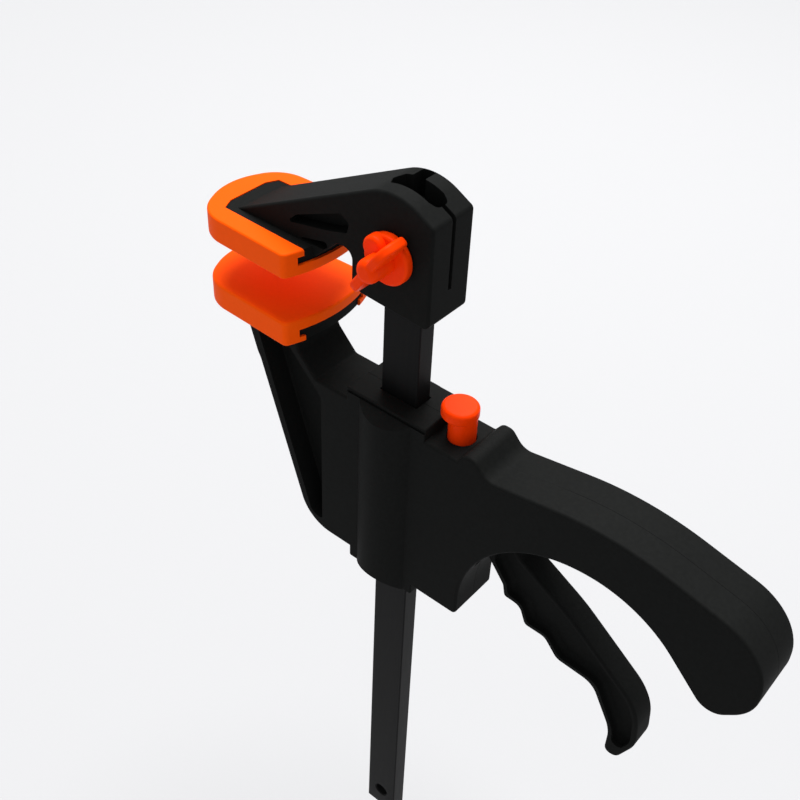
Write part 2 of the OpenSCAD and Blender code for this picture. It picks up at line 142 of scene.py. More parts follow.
def miters(points: Sequence[Point]) -> list[Point]:
    """The outward offset direction at each point of a clockwise outline."""
    n = len(points)
    out: list[Point] = []
    for i in range(n):
        s = Vector(points[i]) - Vector(points[i - 1])
        t = Vector(points[(i + 1) % n]) - Vector(points[i])
        s.normalize()
        t.normalize()
        scale = 1 / max(0.3, 1 + s.dot(t))
        out.append((-(s.y + t.y) * scale, (s.x + t.x) * scale))
    return out


def inset(path: Sequence[Corner], d: float) -> list[Corner]:
    """A clockwise outline of corners moved inwards by d, with radii to match."""
    n = len(path)
    out: list[Corner] = []
    for i in range(n):
        p = Vector(path[i][:2])
        s = (p - Vector(path[i - 1][:2])).normalized()
        t = (Vector(path[(i + 1) % n][:2]) - p).normalized()
        q = p + Vector((s.y + t.y, -s.x - t.x)) * d / (1 + s.dot(t))
        r = path[i][2]
        bend = s.x * t.y - s.y * t.x
        out.append((q.x, q.y, 0.0 if r == 0 else max(r - d if bend < 0 else r + d, 0.0)))
    return out


def rectangle(x: Span, z: Span, r: float = 0.0) -> list[Corner]:
    """A clockwise rectangle with all corners rounded by r."""
    return [(x[0], z[0], r), (x[0], z[1], r), (x[1], z[1], r), (x[1], z[0], r)]


def smooth_step(value: float, low: float, high: float) -> float:
    """0 below low, 1 above high, and a smooth change between them."""
    t = max(0.0, min(1.0, (value - low) / (high - low)))
    return t * t * (3 - 2 * t)


# ---------- Shapes ----------


def new_object(name: str, data: bpy.types.ID) -> bpy.types.Object:
    """A new object that holds the data, put into the scene."""
    made = bpy.data.objects.new(name, data)
    bpy.context.scene.collection.objects.link(made)
    return made


class Shape:
    """A closed mesh in millimetres, measured from the bar's axis and the collar's top."""

    def __init__(self, mesh: bpy.types.Mesh) -> None:
        """Wraps a mesh that this shape then owns."""
        self.mesh = mesh

    @classmethod
    def from_bmesh(cls, bm: bmesh.types.BMesh) -> "Shape":
        """Turns a bmesh into a shape with its normals outwards, and frees it."""
        bmesh.ops.recalc_face_normals(bm, faces=bm.faces)
        mesh = bpy.data.meshes.new("shape")
        bm.to_mesh(mesh)
        bm.free()
        return cls(mesh)

    @classmethod
    def rings(cls, rings: Sequence[Sequence[Vector]]) -> "Shape":
        """Skins a row of rings of equal length, with a face at each end."""
        bm = bmesh.new()
        made = [[bm.verts.new(p) for p in ring] for ring in rings]
        n = len(made[0])
        for a, b in zip(made, made[1:]):
            for i in range(n):
                bm.faces.new((a[i], a[(i + 1) % n], b[(i + 1) % n], b[i]))
        bm.faces.new(made[0])
        bm.faces.new(made[-1])
        return cls.from_bmesh(bm)

    @classmethod
    def slab(
        cls,
        outline: Sequence[Point],
        span: Span,
        edges: tuple[Width, Width] = (0.0, 0.0),
        lie: Lie = Lie.UPRIGHT,
        rows: int = 1,
        steps: int = 5,
    ) -> "Shape":
        """Extrudes an outline, with a rounded edge at each face.

        Args:
            outline: The clockwise outline.
            span: The two faces' positions.
            edges: The edge radius at the low and the high face, a number or a function of the point.
            lie: Which way the thickness points.
            rows: Rows of faces between the two rounded edges.
            steps: Rows of faces over each rounded edge.

        Returns:
            The closed shape.
        """
        directions = miters(outline)

        def at(width: Width, p: Point) -> float:
            """An edge radius at a point of the outline."""
            return width(*p) if callable(width) else width

        low, high = span
        rings: list[list[Vector]] = []
        stations: list[tuple[str, float]] = []
        if edges[0] != 0.0:
            stations += [("low", k / steps) for k in range(steps)]
        stations += [("mid", k / rows) for k in range(rows + 1)]
        if edges[1] != 0.0:
            stations += [("high", k / steps) for k in range(1, steps + 1)]
        for kind, t in stations:
            ring: list[Vector] = []
            for p, n in zip(outline, directions):
                e_low, e_high = at(edges[0], p), at(edges[1], p)
                if kind == "low":
                    w = low + e_low * (1 - math.cos(t * math.pi / 2))
                    d = e_low * (1 - math.sin(t * math.pi / 2))
                elif kind == "mid":
                    w = low + e_low + (high - e_high - low - e_low) * t
                    d = 0.0
                else:
                    w = high - e_high * (1 - math.sin(t * math.pi / 2))
                    d = e_high * (1 - math.cos(t * math.pi / 2))
                ring.append(placed_on(lie, p[0] - n[0] * d, p[1] - n[1] * d, w))
            rings.append(ring)
        return cls.rings(rings)

    @classmethod
    def lathe(
        cls,
        profile: Sequence[Point],
        centre: tuple[float, float, float],
        lie: Lie = Lie.FLAT,
        sides: int = 64,
    ) -> "Shape":
        """Turns a profile round an axis.

        Args:
            profile: Radius and height pairs, from one end to the other.
            centre: The point that the heights count from.
            lie: The axis.
            sides: Faces round the axis.

        Returns:
            The closed shape.
        """
        rings = []
        for r, h in profile:
            ring = [
                placed_on(lie, r * math.cos(math.tau * k / sides), r * math.sin(math.tau * k / sides), h)
                for k in range(sides)
            ]
            rings.append([p + Vector(centre) for p in ring])
        return cls.rings(rings)

    @classmethod
    def block(cls, x: Span, y: Span, z: Span, r: float = 0.0) -> "Shape":
        """A box, with its upright faces' edges rounded by r."""
        outline = rounded(rectangle(x, z, r))
        return cls.slab(outline, y, (0.8 * r, 0.8 * r))

    @classmethod
    def rod(cls, x: float, z: float, r: float, y: Span, soft: float = 0.0) -> "Shape":
        """A round bar along Y, with its ends' edges rounded by soft."""
        return cls.lathe(soft_ends(r, y, soft), (x, 0, z), Lie.UPRIGHT)

    @classmethod
    def post(cls, x: float, r: float, z: Span, soft: float = 0.0) -> "Shape":
        """A round bar along Z, with its ends' edges rounded by soft."""
        return cls.lathe(soft_ends(r, z, soft), (x, 0, 0))

    @classmethod
    def coil(cls, centre: Point, z: Span, mean_r: float, wire_r: float, turns: int) -> "Shape":
        """A round wire coil round an upright axis.

        Args:
            centre: X and Y of the axis.
            z: The lowest and highest point of the wire.
            mean_r: The radius to the wire's middle.
            wire_r: The wire's radius.
            turns: The number of turns.

        Returns:
            The closed shape.
        """
        sides, per_turn = 14, 40
        steps = turns * per_turn
        rise = (z[1] - z[0] - 2 * wire_r) / steps
        rings = []
        for i in range(steps + 1):
            a = math.tau * i / per_turn
            ring = []
            for k in range(sides):
                b = math.tau * k / sides
                r = mean_r + wire_r * math.cos(b)
                height = z[0] + wire_r + rise * i + wire_r * math.sin(b)
                ring.append(Vector((centre[0] + r * math.cos(a), centre[1] + r * math.sin(a), height)))
            rings.append(ring)
        return cls.rings(rings)

    @classmethod
    def threaded(cls, x: float, z: float, r: float, y: Span, pitch: float, depth: float) -> "Shape":
        """A threaded rod along Y.

        Args:
            x: The axis's X.
            z: The axis's Z.
            r: The radius over the thread.
            y: Where it begins and ends.
            pitch: The thread's pitch.
            depth: The thread's depth.

        Returns:
            The closed shape.
        """
        sides, per_pitch = 32, 6
        steps = round((y[1] - y[0]) / pitch * per_pitch)
        rings = []
        for i in range(steps + 1):
            height = y[0] + (y[1] - y[0]) * i / steps
            near_end = min(height - y[0], y[1] - height)
            ring = []
            for k in range(sides):
                phase = (height / pitch - k / sides) % 1.0
                groove = depth * (1 - abs(2 * phase - 1))
                here = min(r - groove, r - depth * 1.1 + near_end)
                a = math.tau * k / sides
                ring.append(Vector((x + here * math.cos(a), height, z + here * math.sin(a))))
            rings.append(ring)
        return cls.rings(rings)

    def combined(self, operation: str, tools: Iterable["Shape"]) -> "Shape":
        """This shape after a Boolean with each tool, which is used up."""
        for tool in tools:
            base = new_object("base", self.mesh)
            other = new_object("tool", tool.mesh)
            boolean = base.modifiers.new("boolean", "BOOLEAN")
            boolean.operation = operation
            boolean.solver = "MANIFOLD"
            boolean.object = other
            graph = bpy.context.evaluated_depsgraph_get()
            mesh = bpy.data.meshes.new_from_object(base.evaluated_get(graph))
            for o in (base, other):
                bpy.data.objects.remove(o)
            bpy.data.meshes.remove(self.mesh)
            bpy.data.meshes.remove(tool.mesh)
            self.mesh = mesh
        return self

    def cut(self, *tools: "Shape") -> "Shape":
        """Takes each tool away from this shape."""
        return self.combined("DIFFERENCE", tools)

    def join(self, *tools: "Shape") -> "Shape":
        """Adds each tool to this shape."""
        return self.combined("UNION", tools)

    def keep(self, *tools: "Shape") -> "Shape":
        """Keeps only what each tool covers."""
        return self.combined("INTERSECT", tools)

    def moved(self, change: Matrix) -> "Shape":
        """This shape after a move, turn or mirror."""
        self.mesh.transform(change)
        if change.determinant() < 0:
            self.mesh.flip_normals()
        return self

    def reshaped(self, rule: Callable[[Vector], Vector]) -> "Shape":
        """Moves every point by a rule."""
        for v in self.mesh.vertices:
            v.co = rule(v.co)
        return self

    def split_at(self, x: float) -> "Shape":
        """Adds an edge loop where the plane at X cuts the shape."""
        bm = bmesh.new()
        bm.from_mesh(self.mesh)
        geometry = bm.verts[:] + bm.edges[:] + bm.faces[:]
        bmesh.ops.bisect_plane(bm, geom=geometry, plane_co=(x, 0, 0), plane_no=(1, 0, 0))
        bm.to_mesh(self.mesh)
        bm.free()
        return self

    def copy(self) -> "Shape":
        """A second shape with the same mesh."""
        return Shape(self.mesh.copy())

    def cleaned(self) -> "Shape":
        """This shape without doubled points and without slivers."""
        bm = bmesh.new()
        bm.from_mesh(self.mesh)
        bmesh.ops.remove_doubles(bm, verts=bm.verts, dist=WELD)
        bmesh.ops.dissolve_degenerate(bm, edges=bm.edges, dist=WELD)
        bm.to_mesh(self.mesh)
        bm.free()
        return self


def placed_on(lie: Lie, u: float, v: float, w: float) -> Vector:
    """A point of an outline's plane, w along the thickness."""
    if lie is Lie.UPRIGHT:
        return Vector((u, w, v))
    if lie is Lie.FLAT:
        return Vector((u, v, w))
    return Vector((w, u, v))


def soft_ends(r: float, span: Span, soft: float, steps: int = 4) -> list[Point]:
    """The profile of a round bar whose ends' edges are rounded by soft."""
    if soft <= 0:
        return [(r, span[0]), (r, span[1])]
    quarter = [k * math.pi / 2 / steps for k in range(steps + 1)]
    low = [(r - soft + soft * math.sin(a), span[0] + soft - soft * math.cos(a)) for a in quarter]
    high = [(r - soft + soft * math.cos(a), span[1] - soft + soft * math.sin(a)) for a in quarter]
    return low + high


# ---------- Finishes ----------


@dataclass(frozen=True)
class Finish:
    """A surface: what its material is made of."""

    name: str
    color: tuple[float, float, float]
    roughness: float
    shade: float = 0.15  # how far the colour varies
    grain: float = 900.0  # mottle, per metre
    fine: float = 5200.0  # skin texture, per metre
    bump: float = 0.15
    metallic: float = 0.0
    specular: float = 0.5
    brushed: tuple[float, float, float] = (1.0, 1.0, 1.0)  # how the texture is stretched
    wear: float = 0.0  # how much lighter the outer edges are

    def material(self) -> bpy.types.Material:
        """The node material for this finish."""
        name = f"{self.name}_finish"
        found = bpy.data.materials.get(name)
        if found:
            return found
        material = bpy.data.materials.new(name)
        material.use_nodes = True
        nodes, links = material.node_tree.nodes, material.node_tree.links
        shader = nodes["Principled BSDF"]
        shader.inputs["Metallic"].default_value = self.metallic
        shader.inputs["Specular IOR Level"].default_value = self.specular
        place = nodes.new("ShaderNodeTexCoord")
        stretch = nodes.new("ShaderNodeMapping")
        stretch.inputs["Scale"].default_value = self.brushed
        links.new(place.outputs["Object"], stretch.inputs["Vector"])

        mottle = self.noise(stretch, self.grain, 4.0)
        skin = self.noise(stretch, self.fine, 2.0)

        tint = nodes.new("ShaderNodeMix")
        tint.data_type = "RGBA"
        dark = [c * (1 - self.shade) for c in self.color]
        light = [min(1.0, c * (1 + self.shade)) for c in self.color]
        tint.inputs["A"].default_value = (*dark, 1)
        tint.inputs["B"].default_value = (*light, 1)
        links.new(mottle.outputs["Fac"], tint.inputs["Factor"])
        color = tint.outputs["Result"]
        if self.wear:
            color = self.worn_edges(color)
        links.new(color, shader.inputs["Base Color"])

        polish = nodes.new("ShaderNodeMapRange")
        polish.inputs["To Min"].default_value = self.roughness * 0.85
        polish.inputs["To Max"].default_value = min(1.0, self.roughness * 1.15)
        links.new(skin.outputs["Fac"], polish.inputs["Value"])
        links.new(polish.outputs["Result"], shader.inputs["Roughness"])

        relief = nodes.new("ShaderNodeBump")
        relief.inputs["Strength"].default_value = self.bump
        relief.inputs["Distance"].default_value = 0.00006
        links.new(skin.outputs["Fac"], relief.inputs["Height"])
        links.new(relief.outputs["Normal"], shader.inputs["Normal"])
        return material

    def noise(self, place: bpy.types.Node, scale: float, detail: float) -> bpy.types.Node:
        """A noise texture over the positions that place gives, with scale in features per metre."""
        tree = place.id_data
        texture = tree.nodes.new("ShaderNodeTexNoise")
        texture.inputs["Scale"].default_value = scale
        texture.inputs["Detail"].default_value = detail
        tree.links.new(place.outputs["Vector"], texture.inputs["Vector"])
        return texture

    def worn_edges(self, color: bpy.types.NodeSocket) -> bpy.types.NodeSocket:
        """Mixes a lighter colour in where the surface bends outwards."""
        tree = color.id_data
        geometry = tree.nodes.new("ShaderNodeNewGeometry")
        ramp = tree.nodes.new("ShaderNodeMapRange")
        ramp.inputs["From Min"].default_value = 0.52
        ramp.inputs["From Max"].default_value = 0.62
        ramp.inputs["To Max"].default_value = self.wear
        tree.links.new(geometry.outputs["Pointiness"], ramp.inputs["Value"])
        mix = tree.nodes.new("ShaderNodeMix")
        mix.data_type = "RGBA"
        mix.inputs["B"].default_value = (*[min(1.0, c * 6 + 0.02) for c in self.color], 1)
        tree.links.new(ramp.outputs["Result"], mix.inputs["Factor"])
        tree.links.new(color, mix.inputs["A"])
        return mix.outputs["Result"]


BLACK_NYLON = Finish("black_nylon", (0.0082, 0.0086, 0.0083), 0.6, shade=0.25, bump=0.35, specular=0.02)
ORANGE_PAD = Finish("orange_pad", (0.98, 0.09, 0.001), 0.5, shade=0.05, bump=0.2, specular=0.03)
ORANGE_PLASTIC = Finish(
    "orange_plastic", (0.92, 0.044, 0.0005), 0.36, shade=0.05, bump=0.1, specular=0.035
)
BLACK_BAR = Finish(
    "black_bar", (0.005, 0.005, 0.0052), 0.45,
    shade=0.3, bump=0.2, specular=0.05, brushed=(1.0, 1.0, 0.04), wear=0.15,
)
ZINC_STEEL = Finish("zinc_steel", (0.55, 0.56, 0.58), 0.32, shade=0.12, metallic=1.0)
SPRING_STEEL = Finish("spring_steel", (0.32, 0.32, 0.34), 0.35, shade=0.15, metallic=1.0)
PALE_FLOOR = Finish("pale_floor", (0.425, 0.425, 0.432), 0.9, shade=0.01, bump=0.0)


def show(
    shape: Shape,
    name: str,
    body: str,
    finish: Finish,
    nodes: Iterable[str],
    sharp: float = 35.0,
) -> bpy.types.Object:
    """Puts a finished shape in the row's frame as a piece of the object.

    Args:
        shape: The shape, in build millimetres.
        name: The piece's name.
        body: The body that it rides on.
        finish: Its finish, named as the record's material slot.
        nodes: The plain solids that it stands for.
        sharp: Edges that bend more than this, in degrees, stay crisp.

    Returns:
        The piece.
    """
    shape.cleaned().moved(Matrix.Scale(MM, 4) @ Matrix.Translation((ORIGIN_X, 0, ORIGIN_Z)))
    mesh = shape.mesh
    mesh.name = name
    mesh.materials.clear()
    mesh.materials.append(finish.material())
    mesh.shade_smooth()
    mesh.set_sharp_from_angle(angle=math.radians(sharp))
    piece = new_object(name, mesh)
    weights = piece.modifiers.new("weights", "WEIGHTED_NORMAL")
    weights.keep_sharp = True
    weights.weight = 90
    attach(piece, body)
    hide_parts(*nodes)
    log.info("%s: %d faces", name, len(mesh.polygons))
    return piece


def squeeze(spring: bpy.types.Object) -> None:
    """Gives an upright coil a mesh of its own.

    Args:
        spring: The coil.
    """
    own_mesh(spring)


# ---------- Sub-assemblies ----------


@dataclass
class Pads:
    """The two soft pads and the foot outline that they slip over."""

    tip_x: float = -68.5
    back_x: float = -26.4
    back_half: float = 17.9
    front_half: float = 16.7
    floor_t: float = 3.3
    foot_t: float = 2.5
    lip_t: float = 2.0
    wall: float = 4.0
    lip_reach: float = 2.0
    tip_lip_reach: float = 3.6
    gap: float = 0.1
    upper_z: float = 33.6
    lower_z: float = 18.8

    def outline(self) -> list[Corner]:
        """The pad from above: curved at the bar end, tapering to a rounded tip."""
        return [
            (self.back_x - 3.5, self.back_half, 2.0),
            (self.back_x + 3.5, 0, 44.2),
            (self.back_x - 3.5, -self.back_half, 2.0),
            (self.tip_x + 5.5, -self.front_half, 12),
            (self.tip_x - 2.2, 0, 20),
            (self.tip_x + 5.5, self.front_half, 12),
        ]

    def channel(self) -> list[Corner]:
        """The outline with a straight back past its end."""
        back = self.back_x + 10
        return [(back, self.back_half, 0.0), (back, -self.back_half, 0.0)] + self.outline()[3:]

    def foot(self) -> Shape:
        """The jaw's foot that fills the channel, and its rise between the lips."""
        low = self.floor_t
        rise = low + self.foot_t + self.gap + self.lip_t - 0.3
        foot = Shape.slab(
            rounded(inset(self.channel(), self.wall + self.gap)), (low, low + self.foot_t), lie=Lie.FLAT
        )
        tongue = self.mouth(self.gap, (low + 0.5, rise))
        limit = rounded(inset(self.outline(), 0.8))
        edge = Shape.slab(limit, (low, rise), (0.3, 0.3), Lie.FLAT, steps=3)
        return foot.join(tongue).keep(edge)

    def mouth(self, shrink: float, z: Span) -> Shape:
        """The crisp-cornered opening between the lips, smaller all round by shrink."""
        crisp = [(x, y, 0.0) for x, y, _ in self.channel()]
        mouth = Shape.slab(rounded(inset(crisp, self.wall + self.lip_reach + shrink)), z, lie=Lie.FLAT)
        front = self.tip_x + self.wall + self.tip_lip_reach + shrink
        return mouth.keep(Shape.block((front, 40), (-40, 40), (-5, 40)))

    def pad(self) -> Shape:
        """One pad with its gripping face at Z = 0 and its channel above."""
        lip_z = self.floor_t + self.foot_t + self.gap
        top = lip_z + self.lip_t
        pad = Shape.slab(rounded(self.outline(), 2.5), (0, top), (0.8, 0.7), Lie.FLAT)
        room = rounded(inset(self.channel(), self.wall))
        channel = Shape.slab(room, (self.floor_t, lip_z), lie=Lie.FLAT)
        return pad.cut(channel, self.mouth(0.0, (self.floor_t + 0.5, top + 1)))

    def build(self) -> None:
        """Makes both pads."""
        upper = self.pad().moved(Matrix.Translation((0, 0, self.upper_z)))
        flip = Matrix.Translation((0, 0, self.lower_z)) @ Matrix.Scale(-1, 4, (0, 0, 1))
        lower = self.pad().moved(flip)
        show(upper, "pad_upper", "bar_and_jaw", ORANGE_PAD, ["upper_pad"])
        show(lower, "pad_lower", "body", ORANGE_PAD, ["lower_pad"])


@dataclass
class BarAndJaw:
    """The flat bar and the jaw that is pinned to it."""

    pads: Pads
    bar_w: float = 13.0
    bar_t: float = 6.2
    bar_z: Span = (-212.0, 59.5)
    hole_r: float = 2.7
    hole_z: tuple[float, float] = (50.0, -202.5)
    jaw_half: float = 8.3
    web_half: float = 4.2
    end_x: float = 12.6
    soft: float = 0.9
    crisp: float = 0.25
    slit_z: Span = (41.5, 75.0)
    slit_half: float = 0.7
    fit: float = 0.1
    bar_edge: float = 0.45

    def jaw_outline(self) -> list[Corner]:
        """The jaw from the side."""
        base = self.pads.upper_z
        foot = base + self.pads.floor_t
        tip = self.pads.tip_x + 10.6
        return [
            (tip, foot, 0.0), (tip, foot + 3.75, 0.0), (-0.4, base + 36.15, 17),
            (self.end_x, base + 29.1, 1.6), (self.end_x, base - 1.6, 2),
            (-10.8, base - 0.1, 1.5), (-14, base + 2.6, 1.8), (-14, base + 12.2, 3),
            (-19.5, base + 11.5, 2), (self.pads.back_x - 0.6, foot + 1.1, 0.0),
        ]

    def recesses(self, side: Side) -> list[Shape]:
        """The two hollows in one side of the jaw."""
        base = self.pads.upper_z
        main = [
            (-37.3, 11.4, 0.5), (-33.8, 14.8, 1.5), (-17.7, 21.7, 2),
            (-14.7, 19.8, 1.2), (-15.5, 16.5, 0.8), (-23.4, 14.3, 8),
        ]
        low = [(-35, 7.9, 0.4), (-19.8, 11.5, 1), (-23.9, 7.9, 0.4)]
        out = []
        for path in (main, low):
            lifted = [(x, z + base, r) for x, z, r in path]
            shape = Shape.slab(rounded(lifted), (self.web_half, self.jaw_half + 2), (0.2, 0.0), steps=2)
            out.append(shape.moved(Matrix.Scale(side.value, 4, (0, 1, 0))))
        return out

    def window(self) -> Shape:
        """The opening in the head's top that shows the bar's end."""
        z = (self.bar_z[1], self.bar_z[1] + 20)
        half_w, half_t = self.bar_w / 2, self.bar_t / 2
        path = [
            (-half_w - 0.9, 0, 0.5), (-half_w + 0.9, half_t, 0.4),
            (-3.5, half_t, 0.3), (-3.5, half_t + 4.4, 0.5),
            (0.5, half_t + 4.4, 0.5), (0.5, half_t, 0.3), (half_w, half_t, 0.3),
            (half_w + 2.4, half_t - 1, 1.9), (half_w + 2.4, -half_t + 1, 1.9),
            (half_w, -half_t, 0.3), (-half_w + 0.9, -half_t, 0.4),
        ]
        return Shape.slab(rounded(path), z, lie=Lie.FLAT)

    def build_jaw(self) -> None:
        """Makes the fixed jaw."""
        path = rounded(self.jaw_outline(), 4)
        edge = self.edge_radius
        jaw = Shape.slab(path, (-self.jaw_half, self.jaw_half), (edge, edge))
        jaw.join(self.pads.foot().moved(Matrix.Translation((0, 0, self.pads.upper_z))))
        for side in Side:
            jaw.cut(*self.recesses(side))
        slit = rounded(rectangle((0, 20), self.slit_z, 0.4))
        jaw.cut(self.window(), Shape.slab(slit, (-self.slit_half, self.slit_half)))
        half_w, half_t = self.bar_w / 2 + self.fit, self.bar_t / 2 + self.fit
        jaw.cut(
            Shape.block((-half_w, half_w), (-half_t, half_t), (20, self.bar_z[1] + self.fit)),
            Shape.rod(0, self.hole_z[0], self.hole_r, (-20, 20)),
            LockKey().nut_space(),
        )
        show(jaw, "jaw_fixed", "bar_and_jaw", BLACK_NYLON, ["fixed_jaw"])

    def edge_radius(self, x: float, z: float) -> float:
        """How round the jaw's side edges are at a point of its outline: crisp towards the foot."""
        if x >= -16:
            return self.soft
        along = smooth_step(x, self.pads.tip_x + 10, self.pads.tip_x + 15)
        above = smooth_step(z, self.pads.upper_z + 6, self.pads.upper_z + 8.5)
        return self.crisp + (self.soft - self.crisp) * along * above

    def build_bar(self) -> None:
        """Makes the bar with its two holes."""
        half_w, half_t = self.bar_w / 2, self.bar_t / 2
        section = rounded(rectangle((-half_w, half_w), (-half_t, half_t), self.bar_edge), 3)
        bar = Shape.slab(section, self.bar_z, (0.35, 0.35), Lie.FLAT, rows=40, steps=3)
        r = self.hole_r
        bevelled = [(r + 0.4, -3.11), (r, -2.7), (r, 2.7), (r + 0.4, 3.11)]
        for z in self.hole_z:
            bar.cut(Shape.lathe(bevelled, (0, 0, z), Lie.UPRIGHT, 48))
        show(bar, "bar_steel", "bar_and_jaw", BLACK_BAR, ["bar"])

    def build(self) -> None:
        """Makes the jaw and the bar."""
        self.build_jaw()
        self.build_bar()


@dataclass
class LockKey:
    """The winged key, its screw and the nut that pinch the head onto the bar."""

    z: float = 50.0
    near_y: float = -8.4
    disc_r: float = 7.2
    disc_t: float = 3.0
    hub_r: float = 3.4
    hub_h: float = 11.1
    boss: Point = (-2.5, 3.5)
    boss_r: float = 3.4
    wing_half: float = 10.1
    wing_t: float = 2.8
    wing_h: float = 7.9
    wing_angle: float = 56.0
    stud_r: float = 2.5
    stud_end: float = 7.8
    pitch: float = 0.8
    thread_depth: float = 0.42
    nut_af: float = 8.0
    nut_y: Span = (4.1, 8.1)

    def hexagon(self, across: float, y: Span) -> Shape:
        """A hexagonal prism along Y."""
        r = across / math.sqrt(3)
        angles = [math.radians(-a) for a in range(0, 360, 60)]
        corners = [(r * math.cos(a), self.z + r * math.sin(a), 0.0) for a in angles]
        return Shape.slab(rounded(corners), y)

    def nut_space(self) -> Shape:
        """The pocket that holds the nut, open to the far side."""
        return self.hexagon(self.nut_af + 0.2, (self.nut_y[0] - 0.1, 20))

    def wings(self) -> Shape:
        """Both wings as one rounded plate, standing on the disc."""
        half, high = self.wing_half, self.wing_h
        corners = [(-half, -1.5, 1.2), (-half, high, 4.5), (half, high, 4.5), (half, -1.5, 1.2)]
        plate = Shape.slab(rounded(corners, 1.5), (-self.wing_t / 2, self.wing_t / 2), (0.9, 0.9))
        standing = Matrix.Rotation(math.pi / 2, 4, "X")
        turn = Matrix.Rotation(math.radians(-self.wing_angle), 4, "Y") @ standing
        return plate.moved(Matrix.Translation((0, self.near_y - self.disc_t, self.z)) @ turn)

    def build(self) -> None:
        """Makes the key, the screw and the nut."""
        top = self.near_y - self.disc_t
        key = Shape.rod(0, self.z, self.disc_r, (top, self.near_y), 0.8)
        key.join(Shape.rod(0, self.z, self.hub_r, (self.near_y - self.hub_h, self.near_y - 1), 2.0))
        lobe_y = (top - 2.2, self.near_y - 1)
        lobe = Shape.rod(self.boss[0], self.z + self.boss[1], self.boss_r, lobe_y, 1.1)
        key.join(lobe, self.wings())
        key.cut(Shape.rod(0, self.z, self.stud_r + 0.05, (top - 0.1, 0)))
        show(key, "key_winged", "lock_key", ORANGE_PLASTIC, ["lock_key"])
        stud_y = (top, self.stud_end)
        stud = Shape.threaded(0, self.z, self.stud_r, stud_y, self.pitch, self.thread_depth)
        show(stud, "key_screw", "lock_screw", ZINC_STEEL, ["lock_screw"], 50)
        nut = self.hexagon(self.nut_af, self.nut_y)
        nut.keep(Shape.rod(0, self.z, self.nut_af / math.sqrt(3), self.nut_y, 0.45))
        nut.cut(Shape.rod(0, self.z, self.stud_r + 0.05, (0, 20)))
        show(nut, "nut_captive", "bar_and_jaw", ZINC_STEEL, ["lock_nut"])


